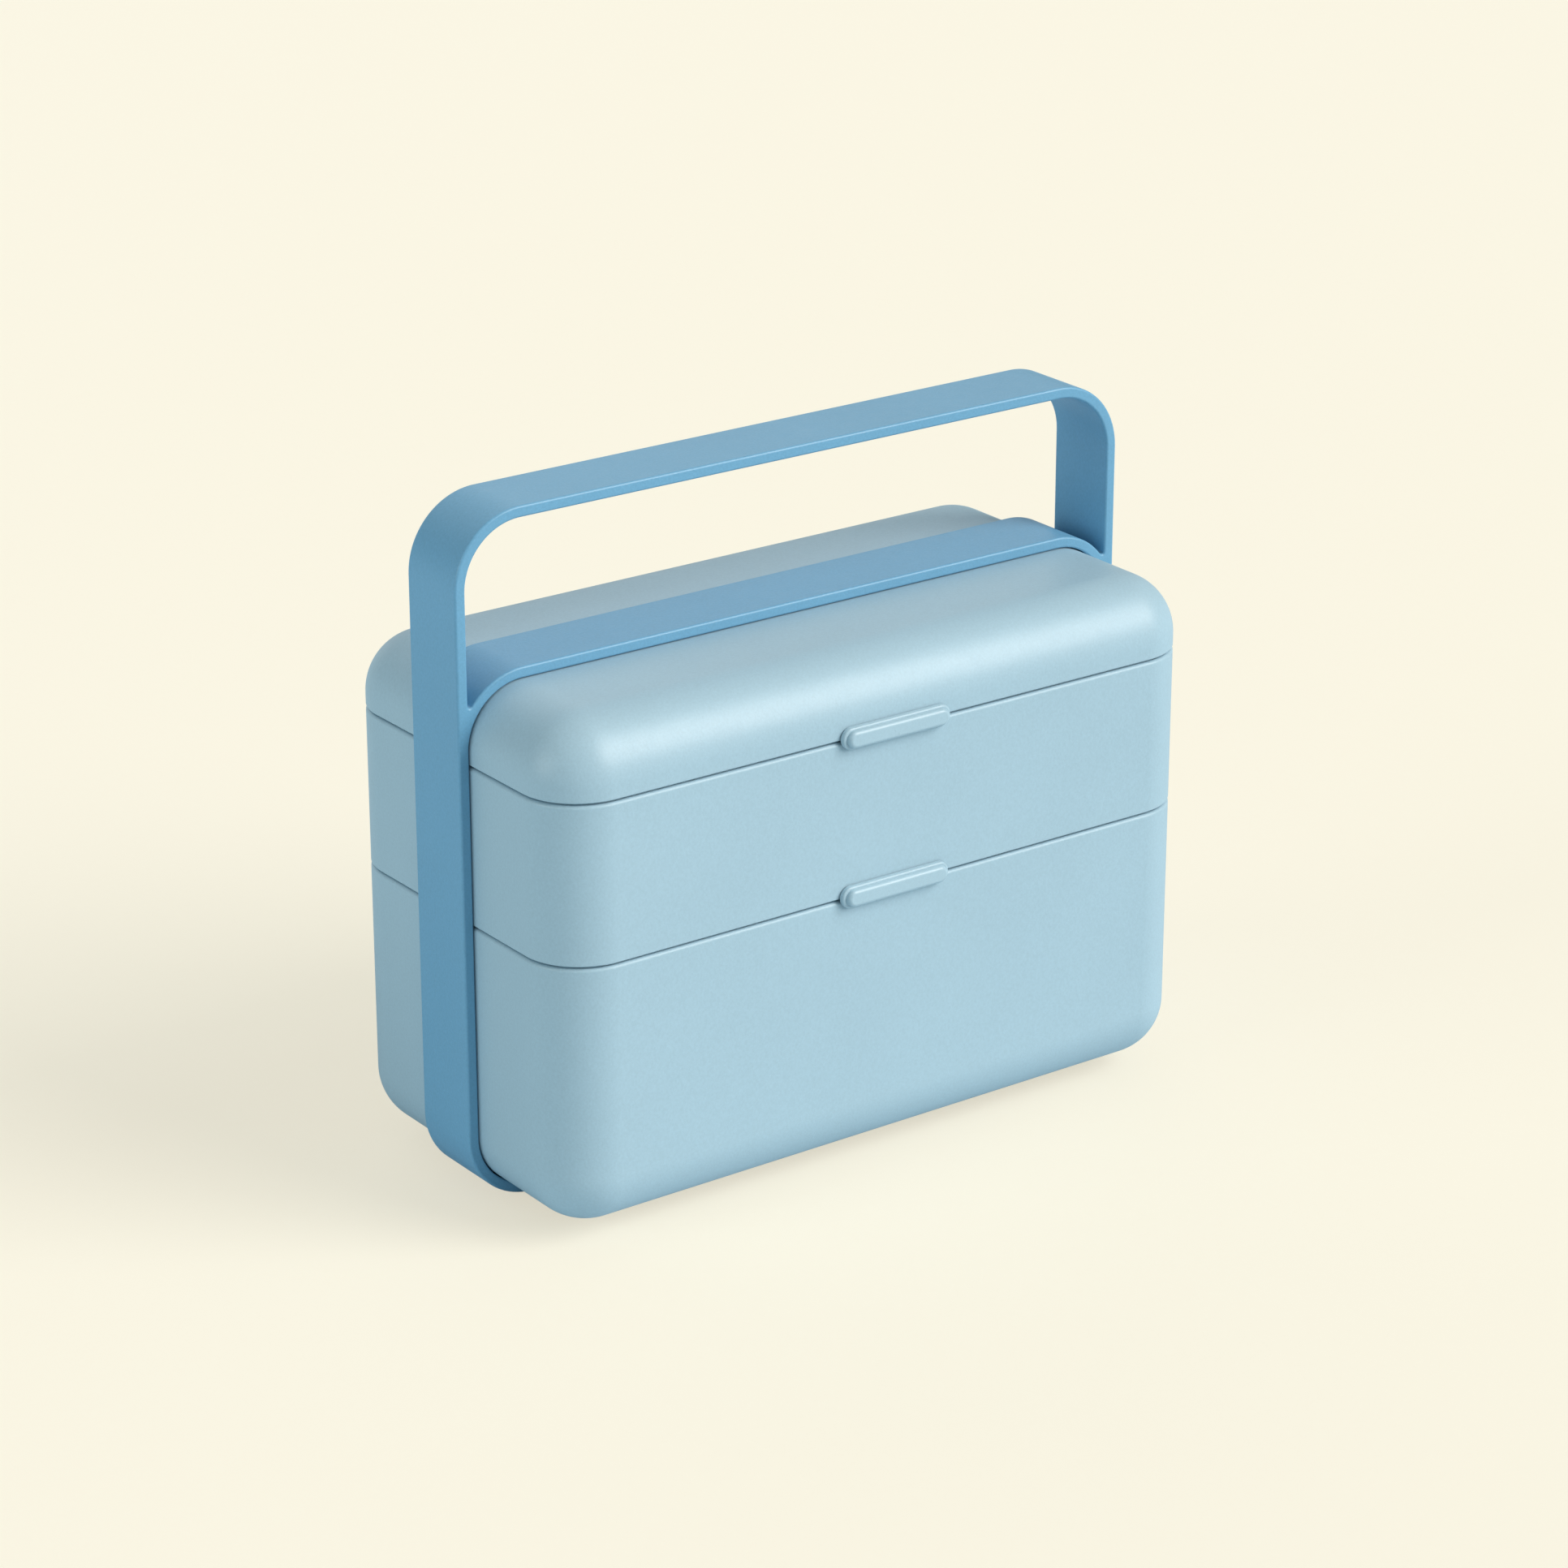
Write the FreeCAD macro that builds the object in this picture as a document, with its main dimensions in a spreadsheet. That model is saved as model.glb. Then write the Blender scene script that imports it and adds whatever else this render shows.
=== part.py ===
import FreeCAD, Part
import os
import Sketcher

# Two-tier bento lunch box held together by a carry strap.
# Frame: origin at the centre of the strap's underside, where the box stands.
# +X runs along the box's long side, -Y is the front with the pull tabs, +Z is up.

doc = FreeCAD.newDocument("bento_lunch_box")
Vector = FreeCAD.Vector

# ---------------------------------------------------------------- driving dimensions, in mm
SIZES = {
    # the stack
    "box_length": 186.0,
    "box_width": 93.0,
    "lower_height": 68.6,
    "upper_height": 39.6,
    "cover_height": 18.0,
    "corner_radius": 15.2,
    "edge_radius": 14.9,
    "wall": 2.6,
    "inner_radius": 11.5,
    "shallow_radius": 7.0,
    # rims, and the seams between the tiers
    "seam_gap": 0.55,
    "rim_lip": 1.3,
    "rim_round": 0.85,
    "small_round": 0.4,
    "foot_drop": 1.6,
    "foot_thick": 1.8,
    "rail_inset": 20.0,
    "rail_thick": 3.2,
    "rail_radius": 9.0,
    "rail_gap": 1.0,
    "fit_gap": 0.35,
    # inner lids, gaskets and vent plugs
    "flange_gap": 0.15,
    "flange_thick": 2.0,
    "lid_depth": 7.0,
    "well_depth": 5.2,
    "skirt_thick": 1.9,
    "gasket_drop": 3.6,
    "gasket_height": 2.2,
    "gasket_seat": 1.0,
    "gasket_gap": 0.1,
    "vent_offset": 73.0,
    "vent_hole": 5.6,
    "vent_stem": 5.0,
    "vent_head": 13.0,
    "vent_thick": 1.7,
    "vent_tail": 2.6,
    # pull tabs
    "tab_length": 31.2,
    "tab_height": 5.4,
    "tab_thick": 1.2,
    "tab_rise": 0.35,
    "tab_gap": 0.3,
    "grip_length": 29.2,
    "grip_height": 4.2,
    "grip_thick": 1.3,
    "grip_round": 0.5,
    "tongue_width": 24.0,
    "tongue_thick": 1.1,
    "tongue_drop": 0.3,
    # divider in the lower container
    "divider_place": 22.0,
    "divider_thick": 1.6,
    "divider_height": 56.0,
    "divider_round": 12.5,
    "notch_radius": 11.0,
    "notch_rise": 4.0,
    "guide_thick": 1.5,
    "guide_reach": 2.2,
    "guide_start": 16.0,
    "guide_height": 36.0,
    # cutlery and its tray
    "tray_length": 144.0,
    "tray_width": 76.0,
    "tray_height": 7.0,
    "tray_shift": 12.0,
    "tray_radius": 9.0,
    "trough_length": 139.6,
    "trough_width": 22.6,
    "trough_depth": 5.6,
    "trough_pitch": 24.2,
    "trough_radius": 7.0,
    "cutlery_length": 134.0,
    "cutlery_width": 11.0,
    "cutlery_thick": 2.2,
    "head_length": 46.0,
    "head_width": 20.0,
    "head_radius": 8.0,
    "blade_width": 15.0,
    "blade_radius": 6.0,
    "bowl_depth": 4.2,
    "bowl_wall": 1.4,
    "tine_slot": 2.0,
    "tine_length": 26.0,
    # carry strap
    "strap_width": 20.0,
    "strap_thick": 2.8,
    "strap_gap": 0.2,
    "strap_radius": 18.0,
    "strap_inner": 14.8,
    "handle_rise": 38.3,
    "handle_leg": 24.0,
    "crotch_round": 0.8,
    "strap_round": 0.6,
}

sheet = doc.addObject("Spreadsheet::Sheet", "Sizes")
for row, (alias, value) in enumerate(SIZES.items(), start=1):
    sheet.set(f"A{row}", alias)
    sheet.set(f"B{row}", str(value))
    sheet.setAlias(f"B{row}", alias)
doc.recompute()

# Levels up the stack, and lengths used in several places, as formulas of the sheet's cells.
BOX_BASE = "(Sizes.strap_thick + Sizes.strap_gap)"
LOWER_SEAM = f"({BOX_BASE} + Sizes.lower_height)"
COVER_SEAM = f"({LOWER_SEAM} + Sizes.upper_height)"
BOX_TOP = f"({COVER_SEAM} + Sizes.cover_height)"
BAND_TOP = f"({BOX_TOP} + Sizes.strap_gap + Sizes.strap_thick)"
STRAP_TOP = f"({BAND_TOP} + Sizes.handle_rise)"
STRAP_REACH = "(Sizes.box_length / 2 + Sizes.strap_gap + Sizes.strap_thick)"
FRONT = "(Sizes.box_width / 2)"

# Margins from the box's outline in to the faces shared by rims, lids and gaskets.
CAVITY = "(0 - Sizes.wall)"
REBATE = "(0 - Sizes.rim_lip)"
FLANGE = f"({REBATE} - Sizes.flange_gap)"
SKIRT = f"({CAVITY} - Sizes.fit_gap)"
GROOVE = f"({SKIRT} - Sizes.gasket_seat)"
WELL = f"({SKIRT} - Sizes.skirt_thick)"
FOOT = f"({WELL} - Sizes.fit_gap)"
FOOT_INSIDE = f"({FOOT} - Sizes.foot_thick)"


# ---------------------------------------------------------------- sketches and features
def value_of(formula):
    """The number that a formula of the sheet's cells gives."""
    quantity = sheet.evalExpression(formula)
    return float(getattr(quantity, "Value", quantity))


def new_body(label):
    body = doc.addObject("PartDesign::Body", label)
    body.Label = label
    return body


def sketch_on(body, name, role, height="0"):
    """An empty sketch on one of the body's origin planes, raised along the plane's normal."""
    sketch = body.newObject("Sketcher::SketchObject", f"{body.Label}_{name}")
    plane = next(f for f in body.Origin.OriginFeatures if f.Role == role)
    sketch.AttachmentSupport = [(plane, "")]
    sketch.MapMode = "FlatFace"
    sketch.setExpression("AttachmentOffset.Base.z", height)
    return sketch


def hold(sketch, kind, where, formula):
    """Adds a dimension to the sketch and binds it to a formula."""
    index = sketch.addConstraint(Sketcher.Constraint(kind, *where, value_of(formula)))
    sketch.setExpression(f"Constraints[{index}]", formula)


def outline(sketch, corners):
    """Draws a closed right-angled outline. Each corner is x, y and its rounding, as formulas."""
    places = [Vector(value_of(x), value_of(y), 0) for x, y, rounding in corners]
    roundings = [value_of(rounding) for x, y, rounding in corners]
    ahead = [(places[(n + 1) % len(places)] - place).normalize() for n, place in enumerate(places)]
    lines = []
    for n, place in enumerate(places):
        following = (n + 1) % len(places)
        start = place + ahead[n] * roundings[n]
        end = places[following] - ahead[n] * roundings[following]
        line = sketch.addGeometry(Part.LineSegment(start, end), False)
        lines.append(line)
        level = abs(ahead[n].x) > 0.5
        sketch.addConstraint(Sketcher.Constraint("Horizontal" if level else "Vertical", line))
        if level:
            hold(sketch, "DistanceY", (-1, 1, line, 1), corners[n][1])
        else:
            hold(sketch, "DistanceX", (-1, 1, line, 1), corners[n][0])
    for n, place in enumerate(places):
        coming, going = ahead[n - 1], ahead[n]
        radius = roundings[n]
        if radius == 0:
            sketch.addConstraint(Sketcher.Constraint("Coincident", lines[n - 1], 2, lines[n], 1))
            continue
        hub = place + (going - coming) * radius
        crown = hub + (coming - going).normalize() * radius
        arc = sketch.addGeometry(Part.Arc(place - coming * radius, crown, place + going * radius), False)
        # a sketch's arc always runs anticlockwise, so a right turn meets its far end first
        left_turn = coming.cross(going).z > 0
        first, last = (1, 2) if left_turn else (2, 1)
        sketch.addConstraint(Sketcher.Constraint("Tangent", lines[n - 1], 2, arc, first))
        sketch.addConstraint(Sketcher.Constraint("Tangent", arc, last, lines[n], 1))
        hold(sketch, "Radius", (arc,), corners[n][2])


def rectangle(sketch, low, high, rounding="0"):
    """Draws a rectangle between two opposite corners, each a pair of formulas."""
    outline(sketch, [(low[0], low[1], rounding), (high[0], low[1], rounding),
                     (high[0], high[1], rounding), (low[0], high[1], rounding)])


def centred(sketch, length, width, rounding, middle=("0", "0")):
    """Draws a rounded rectangle about its middle point."""
    rectangle(sketch, (f"{middle[0]} - {length} / 2", f"{middle[1]} - {width} / 2"),
              (f"{middle[0]} + {length} / 2", f"{middle[1]} + {width} / 2"), rounding)


def follow_box(sketch, margin):
    """Draws the box's outline, moved outwards by a margin."""
    centred(sketch, f"(Sizes.box_length + 2 * {margin})", f"(Sizes.box_width + 2 * {margin})",
            f"(Sizes.corner_radius + {margin})")


def circle(sketch, diameter, middle):
    shape = Part.Circle(Vector(value_of(middle[0]), value_of(middle[1]), 0), Vector(0, 0, 1),
                        value_of(diameter) / 2)
    ring = sketch.addGeometry(shape, False)
    hold(sketch, "Diameter", (ring,), diameter)
    hold(sketch, "DistanceX", (-1, 1, ring, 3), middle[0])
    hold(sketch, "DistanceY", (-1, 1, ring, 3), middle[1])


def pad(body, sketch, length, back=False, both_ways=False):
    feature = body.newObject("PartDesign::Pad", f"{sketch.Name}_pad")
    feature.Profile = sketch
    feature.setExpression("Length", length)
    feature.Reversed = back
    if both_ways:
        feature.SideType = "Symmetric"
    doc.recompute()
    return feature


def pocket(body, sketch, length, back=False):
    """Cuts the sketch into the body, and makes sure that material really goes."""
    before = body.Shape.Volume
    feature = body.newObject("PartDesign::Pocket", f"{sketch.Name}_pocket")
    feature.Profile = sketch
    feature.setExpression("Length", length)
    feature.Reversed = back
    doc.recompute()
    if not body.Shape.Volume < before - 0.01:
        raise RuntimeError(f"{feature.Name} cuts nothing")
    return feature


def pad_round(body, name, margin, height, length, back=False):
    """Pads the box's outline, moved by a margin, from a level of the stack."""
    sketch = sketch_on(body, name, "XY_Plane", height)
    follow_box(sketch, margin)
    return pad(body, sketch, length, back)


def pocket_round(body, name, margin, height, length, back=False):
    """Sinks the box's outline, moved by a margin, from a level of the stack."""
    sketch = sketch_on(body, name, "XY_Plane", height)
    follow_box(sketch, margin)
    return pocket(body, sketch, length, back)


def round_edges(body, name, radius, chosen):
    """Fillets the edges of the body's tip that a test picks out."""
    base = body.Tip
    names = [f"Edge{n}" for n, edge in enumerate(base.Shape.Edges, start=1) if chosen(edge)]
    if not names:
        raise RuntimeError(f"{body.Label} {name}: no edge to round")
    fillet = body.newObject("PartDesign::Fillet", f"{body.Label}_{name}")
    fillet.Base = (base, names)
    fillet.setExpression("Radius", radius)
    doc.recompute()
    return fillet


def rim_at(level, margin="0"):
    """A test for edges at one height that follow the box's outline, moved by a margin."""
    height = value_of(level)
    radius = value_of("Sizes.corner_radius")
    centre_x = value_of("Sizes.box_length") / 2 - radius
    centre_y = value_of("Sizes.box_width") / 2 - radius
    reach = radius + value_of(margin)

    def follows(edge):
        middle = edge.valueAt((edge.FirstParameter + edge.LastParameter) / 2)
        box = edge.BoundBox
        if abs(box.ZMin - height) > 0.01 or abs(box.ZMax - height) > 0.01:
            return False
        past_x = max(abs(middle.x) - centre_x, 0)
        past_y = max(abs(middle.y) - centre_y, 0)
        return abs((past_x ** 2 + past_y ** 2) ** 0.5 - reach) < 0.01

    return follows


def across_y_at(place):
    """A test for edges that lie wholly in one plane across Y, given by formula."""
    depth = value_of(place)

    def lies_there(edge):
        return abs(edge.BoundBox.YMin - depth) < 0.01 and abs(edge.BoundBox.YMax - depth) < 0.01

    return lies_there


# ---------------------------------------------------------------- food containers
def make_container(label, base, seam, under_radius, floor_radius):
    """Outer shell, hollow, rebate for the inner lid's flange, and a notch for its tab's tongue."""
    rim = f"({seam} - Sizes.seam_gap)"
    hollow_base = f"({base} + Sizes.wall)"
    body = new_body(label)
    pad_round(body, "shell", "0", base, f"{rim} - {base}")
    pocket_round(body, "hollow", CAVITY, rim, f"{rim} - {hollow_base}")
    round_edges(body, "hollow_edge", floor_radius, rim_at(hollow_base, CAVITY))
    round_edges(body, "under_edge", under_radius, rim_at(base))
    pocket_round(body, "rebate", REBATE, rim, "Sizes.flange_thick - Sizes.seam_gap")
    round_edges(body, "rim_edge", "Sizes.rim_round", rim_at(rim))
    notch = sketch_on(body, "tab_notch", "XY_Plane", rim)
    half = "(Sizes.tongue_width / 2 + Sizes.fit_gap)"
    rectangle(notch, (f"0 - {half}", f"0 - {FRONT} - 1"),
              (half, f"0 - {FRONT} + Sizes.rim_lip + 0.5"))
    pocket(body, notch, "Sizes.tongue_drop + Sizes.tongue_thick + Sizes.fit_gap - Sizes.seam_gap")
    return body


lower_container = make_container("lower_container", BOX_BASE, LOWER_SEAM,
                                 "Sizes.edge_radius", "Sizes.inner_radius")

# Two pairs of upright guides, moulded on the front and back walls, hold the divider.
guides = sketch_on(lower_container, "guides", "XY_Plane", f"{BOX_BASE} + Sizes.guide_start")
slot_half = "(Sizes.divider_thick / 2 + Sizes.fit_gap)"
wall_face = f"({FRONT} - Sizes.wall)"
for near in (f"(Sizes.divider_place + {slot_half})",
             f"(Sizes.divider_place - {slot_half} - Sizes.guide_thick)"):
    far = f"({near} + Sizes.guide_thick)"
    rectangle(guides, (near, f"{wall_face} - Sizes.guide_reach"), (far, f"{wall_face} + 0.5"))
    rectangle(guides, (near, f"0 - {wall_face} - 0.5"), (far, f"0 - {wall_face} + Sizes.guide_reach"))
pad(lower_container, guides, "Sizes.guide_height")

# A foot rail as tall as the strap is thick keeps the box level; it is open where the strap passes.
rail = sketch_on(lower_container, "rail", "XY_Plane", BOX_BASE)
rail_length = "(Sizes.box_length - 2 * Sizes.rail_inset)"
rail_width = "(Sizes.box_width - 2 * Sizes.rail_inset)"
centred(rail, rail_length, rail_width, "Sizes.rail_radius")
centred(rail, f"({rail_length} - 2 * Sizes.rail_thick)", f"({rail_width} - 2 * Sizes.rail_thick)",
        "(Sizes.rail_radius - Sizes.rail_thick)")
pad(lower_container, rail, BOX_BASE, back=True)
passage = sketch_on(lower_container, "strap_passage", "XY_Plane")
passage_half = "(Sizes.strap_width / 2 + Sizes.rail_gap)"
rectangle(passage, ("0 - Sizes.box_length / 2", f"0 - {passage_half}"),
          ("Sizes.box_length / 2", passage_half))
pocket(lower_container, passage, BOX_BASE, back=True)

upper_container = make_container("upper_container", LOWER_SEAM, COVER_SEAM,
                                 "Sizes.small_round", "Sizes.shallow_radius")

# A foot ring under the floor drops into the recess of the inner lid below.
foot = sketch_on(upper_container, "foot", "XY_Plane", LOWER_SEAM)
follow_box(foot, FOOT)
follow_box(foot, FOOT_INSIDE)
pad(upper_container, foot, "Sizes.foot_drop", back=True)


# ---------------------------------------------------------------- top cover
top_cover = new_body("top_cover")
pad_round(top_cover, "shell", "0", COVER_SEAM, "Sizes.cover_height")
pocket_round(top_cover, "hollow", CAVITY, COVER_SEAM, "Sizes.cover_height - Sizes.wall", back=True)
round_edges(top_cover, "hollow_edge", "Sizes.inner_radius",
            rim_at(f"{BOX_TOP} - Sizes.wall", CAVITY))
round_edges(top_cover, "top_edge", "Sizes.edge_radius", rim_at(BOX_TOP))
round_edges(top_cover, "rim_edge", "Sizes.small_round", rim_at(COVER_SEAM))

# A ledge inside the mouth carries the lip that drops into the inner lid's recess.
ledge = sketch_on(top_cover, "ledge", "XY_Plane", COVER_SEAM)
follow_box(ledge, f"({CAVITY} + 0.5)")
follow_box(ledge, FOOT_INSIDE)
pad(top_cover, ledge, "Sizes.foot_thick")
lip = sketch_on(top_cover, "lip", "XY_Plane", f"{COVER_SEAM} + Sizes.foot_thick / 2")
follow_box(lip, FOOT)
follow_box(lip, FOOT_INSIDE)
pad(top_cover, lip, "Sizes.foot_drop + Sizes.foot_thick / 2", back=True)


# ---------------------------------------------------------------- inner lids, gaskets, vent plugs
def make_inner_lid(label, seam):
    """A recessed airtight lid: flange, skirt with a gasket groove, well, vent hole and pull tab."""
    body = new_body(label)
    pad_round(body, "flange", FLANGE, seam, "Sizes.flange_thick", back=True)
    pad_round(body, "skirt", SKIRT, seam, "Sizes.lid_depth", back=True)
    pocket_round(body, "well", WELL, seam, "Sizes.well_depth")
    groove = sketch_on(body, "groove", "XY_Plane", f"{seam} - Sizes.gasket_drop")
    follow_box(groove, f"({SKIRT} + 1)")
    follow_box(groove, GROOVE)
    pocket(body, groove, "Sizes.gasket_height")
    vent = sketch_on(body, "vent", "XY_Plane", seam)
    circle(vent, "Sizes.vent_hole", ("Sizes.vent_offset", "0"))
    pocket(body, vent, "Sizes.lid_depth + 1")

    # The tab: a tongue through the rim's notch, a pill-shaped plate, and a raised grip on it.
    tongue = sketch_on(body, "tongue", "XY_Plane", f"{seam} - Sizes.tongue_drop")
    rectangle(tongue, ("0 - Sizes.tongue_width / 2", f"0 - {FRONT} - Sizes.tab_gap - 0.4"),
              ("Sizes.tongue_width / 2", f"0 - {FRONT} + Sizes.rim_lip + 0.8"))
    pad(body, tongue, "Sizes.tongue_thick", back=True)
    plate_depth = f"({FRONT} + Sizes.tab_gap)"
    grip_depth = f"({plate_depth} + Sizes.tab_thick)"
    pills = (("plate", "Sizes.tab_length", "Sizes.tab_height", plate_depth, "Sizes.tab_thick"),
             ("grip", "Sizes.grip_length", "Sizes.grip_height", grip_depth, "Sizes.grip_thick"))
    for name, length, height, depth, thick in pills:
        pill = sketch_on(body, name, "XZ_Plane", depth)
        centred(pill, length, height, f"({height} / 2 - 0.05)", ("0", f"({seam} + Sizes.tab_rise)"))
        pad(body, pill, thick)
        round_edges(body, f"{name}_edge", "Sizes.grip_round", across_y_at(f"0 - {depth} - {thick}"))
    return body


def make_gasket(label, seam):
    """The soft ring in the inner lid's groove."""
    body = new_body(label)
    ring = sketch_on(body, "ring", "XY_Plane", f"{seam} - Sizes.gasket_drop")
    follow_box(ring, f"({CAVITY} - Sizes.gasket_gap)")
    follow_box(ring, GROOVE)
    pad(body, ring, "Sizes.gasket_height", back=True)
    return body


def make_vent_plug(label, seam):
    """A soft plug: a head that is pulled, a stem through the lid's hole, and a tail below it."""
    body = new_body(label)
    level = f"({seam} - Sizes.well_depth)"
    middle = ("Sizes.vent_offset", "0")
    head = sketch_on(body, "head", "XY_Plane", level)
    circle(head, "Sizes.vent_head", middle)
    pad(body, head, "Sizes.vent_thick")
    stem = sketch_on(body, "stem", "XY_Plane", level)
    circle(stem, "Sizes.vent_stem", middle)
    pad(body, stem, "Sizes.lid_depth - Sizes.well_depth + Sizes.vent_tail", back=True)
    return body


lids = []
for tier, seam in (("lower", LOWER_SEAM), ("upper", COVER_SEAM)):
    lids.append(make_inner_lid(f"{tier}_inner_lid", seam))
    lids.append(make_gasket(f"{tier}_lid_gasket", seam))
    lids.append(make_vent_plug(f"{tier}_vent_plug", seam))


# ---------------------------------------------------------------- divider
lower_divider = new_body("lower_divider")
panel_base = f"({BOX_BASE} + Sizes.wall + Sizes.fit_gap)"
panel_top = f"({panel_base} + Sizes.divider_height)"
panel_half = f"({FRONT} - Sizes.wall - Sizes.fit_gap)"
panel = sketch_on(lower_divider, "panel", "YZ_Plane", "Sizes.divider_place")
outline(panel, [(f"0 - {panel_half}", panel_base, "Sizes.divider_round"),
                (panel_half, panel_base, "Sizes.divider_round"),
                (panel_half, panel_top, "Sizes.rim_lip"),
                (f"0 - {panel_half}", panel_top, "Sizes.rim_lip")])
pad(lower_divider, panel, "Sizes.divider_thick", both_ways=True)
finger = sketch_on(lower_divider, "finger_notch", "YZ_Plane",
                   "Sizes.divider_place + Sizes.divider_thick")
circle(finger, "2 * Sizes.notch_radius", ("0", f"{panel_top} + Sizes.notch_rise"))
pocket(lower_divider, finger, "2 * Sizes.divider_thick")


# ---------------------------------------------------------------- cutlery and its tray
TRAY_BASE = f"({COVER_SEAM} - Sizes.well_depth)"
TRAY_TOP = f"({TRAY_BASE} + Sizes.tray_height)"
TRAY_MIDDLE = "(0 - Sizes.tray_shift)"

cutlery_tray = new_body("cutlery_tray")
block = sketch_on(cutlery_tray, "block", "XY_Plane", TRAY_BASE)
centred(block, "Sizes.tray_length", "Sizes.tray_width", "Sizes.tray_radius", (TRAY_MIDDLE, "0"))
pad(cutlery_tray, block, "Sizes.tray_height")
troughs = sketch_on(cutlery_tray, "troughs", "XY_Plane", TRAY_TOP)
for side in (-1, 0, 1):
    centred(troughs, "Sizes.trough_length", "Sizes.trough_width", "Sizes.trough_radius",
            (TRAY_MIDDLE, f"({side} * Sizes.trough_pitch)"))
pocket(cutlery_tray, troughs, "Sizes.trough_depth")

HANDLE_BASE = f"({TRAY_TOP} - Sizes.trough_depth + Sizes.bowl_depth - Sizes.cutlery_thick)"
HANDLE_TOP = f"({HANDLE_BASE} + Sizes.cutlery_thick)"
TIP = f"({TRAY_MIDDLE} + Sizes.cutlery_length / 2)"
HEAD_MIDDLE = f"({TIP} - Sizes.head_length / 2)"


def make_utensil(label, side, head_width, head_radius):
    """A flat handle with a wider head, lying in one trough of the tray."""
    body = new_body(label)
    place = f"({side} * Sizes.trough_pitch)"
    shapes = (("handle", "Sizes.cutlery_length", "Sizes.cutlery_width",
               "(Sizes.cutlery_width / 2 - 0.05)", TRAY_MIDDLE),
              ("head", "Sizes.head_length", head_width, head_radius, HEAD_MIDDLE))
    for name, length, width, radius, middle in shapes:
        sketch = sketch_on(body, name, "XY_Plane", HANDLE_BASE)
        centred(sketch, length, width, radius, (middle, place))
        pad(body, sketch, "Sizes.cutlery_thick")
    return body


knife = make_utensil("knife", -1, "Sizes.blade_width", "Sizes.blade_radius")

fork = make_utensil("fork", 0, "Sizes.head_width", "Sizes.head_radius")
tines = sketch_on(fork, "tines", "XY_Plane", HANDLE_TOP)
for slot in (-1, 0, 1):
    middle = f"({slot} * Sizes.head_width / 4)"
    rectangle(tines, (f"{TIP} - Sizes.tine_length", f"{middle} - Sizes.tine_slot / 2"),
              (f"{TIP} + 2", f"{middle} + Sizes.tine_slot / 2"))
pocket(fork, tines, "2 * Sizes.cutlery_thick")

# The spoon is the union of a handle and half an ellipsoid, hollowed by a smaller ellipsoid.
spoon_place = "Sizes.trough_pitch"


def ellipsoid(name, shrink, upper_angle):
    """An ellipsoid centred on the rim of the spoon's bowl."""
    shape = doc.addObject("Part::Ellipsoid", name)
    shape.setExpression("Radius1", f"Sizes.bowl_depth - {shrink}")
    shape.setExpression("Radius2", f"Sizes.head_length / 2 - {shrink}")
    shape.setExpression("Radius3", f"Sizes.head_width / 2 - {shrink}")
    shape.Angle1 = -90
    shape.Angle2 = upper_angle
    shape.setExpression("Placement.Base.x", HEAD_MIDDLE)
    shape.setExpression("Placement.Base.y", spoon_place)
    shape.setExpression("Placement.Base.z", HANDLE_TOP)
    return shape


spoon_handle = doc.addObject("Part::Box", "spoon_handle")
spoon_handle.setExpression("Length", "Sizes.cutlery_length - Sizes.head_length + Sizes.bowl_wall")
spoon_handle.setExpression("Width", "Sizes.cutlery_width")
spoon_handle.setExpression("Height", "Sizes.cutlery_thick")
spoon_handle.setExpression("Placement.Base.x", f"{TRAY_MIDDLE} - Sizes.cutlery_length / 2")
spoon_handle.setExpression("Placement.Base.y", f"{spoon_place} - Sizes.cutlery_width / 2")
spoon_handle.setExpression("Placement.Base.z", HANDLE_BASE)
doc.recompute()
spoon_grip = doc.addObject("Part::Fillet", "spoon_grip")
spoon_grip.Base = spoon_handle
end_x = value_of(f"{TRAY_MIDDLE} - Sizes.cutlery_length / 2")
spoon_grip.Edges = [(n, value_of("Sizes.cutlery_width / 2 - 0.05"), value_of("Sizes.cutlery_width / 2 - 0.05"))
                    for n, edge in enumerate(spoon_handle.Shape.Edges, start=1)
                    if abs(edge.BoundBox.XMax - end_x) < 0.01 and edge.BoundBox.ZLength > 1]
bowl = doc.addObject("Part::Fuse", "spoon_blank")
bowl.Base = spoon_grip
bowl.Tool = ellipsoid("spoon_bowl", "0", 0)
spoon = doc.addObject("Part::Cut", "spoon")
spoon.Base = bowl
spoon.Tool = ellipsoid("spoon_hollow", "Sizes.bowl_wall", 90)
spoon.Label = "spoon"
doc.recompute()


# ---------------------------------------------------------------- carry strap
carry_strap = new_body("carry_strap")
band = sketch_on(carry_strap, "band", "XZ_Plane")
inner_reach = f"({STRAP_REACH} - Sizes.strap_thick)"
rectangle(band, (f"0 - {STRAP_REACH}", "0"), (STRAP_REACH, BAND_TOP), "Sizes.strap_radius")
rectangle(band, (f"0 - {inner_reach}", "Sizes.strap_thick"),
          (inner_reach, f"{BAND_TOP} - Sizes.strap_thick"), "Sizes.strap_inner")
pad(carry_strap, band, "Sizes.strap_width", both_ways=True)

# The handle is an arch whose legs run down into the band's sides.
arch = sketch_on(carry_strap, "arch", "XZ_Plane")
leg_foot = f"({BAND_TOP} - Sizes.handle_leg)"
window_top = f"({STRAP_TOP} - Sizes.strap_thick)"
window_radius = "(Sizes.strap_radius - Sizes.strap_thick)"
outline(arch, [(f"0 - {STRAP_REACH}", leg_foot, "0"),
               (f"0 - {inner_reach}", leg_foot, "0"),
               (f"0 - {inner_reach}", window_top, window_radius),
               (inner_reach, window_top, window_radius),
               (inner_reach, leg_foot, "0"),
               (STRAP_REACH, leg_foot, "0"),
               (STRAP_REACH, STRAP_TOP, "Sizes.strap_radius"),
               (f"0 - {STRAP_REACH}", STRAP_TOP, "Sizes.strap_radius")])
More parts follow.
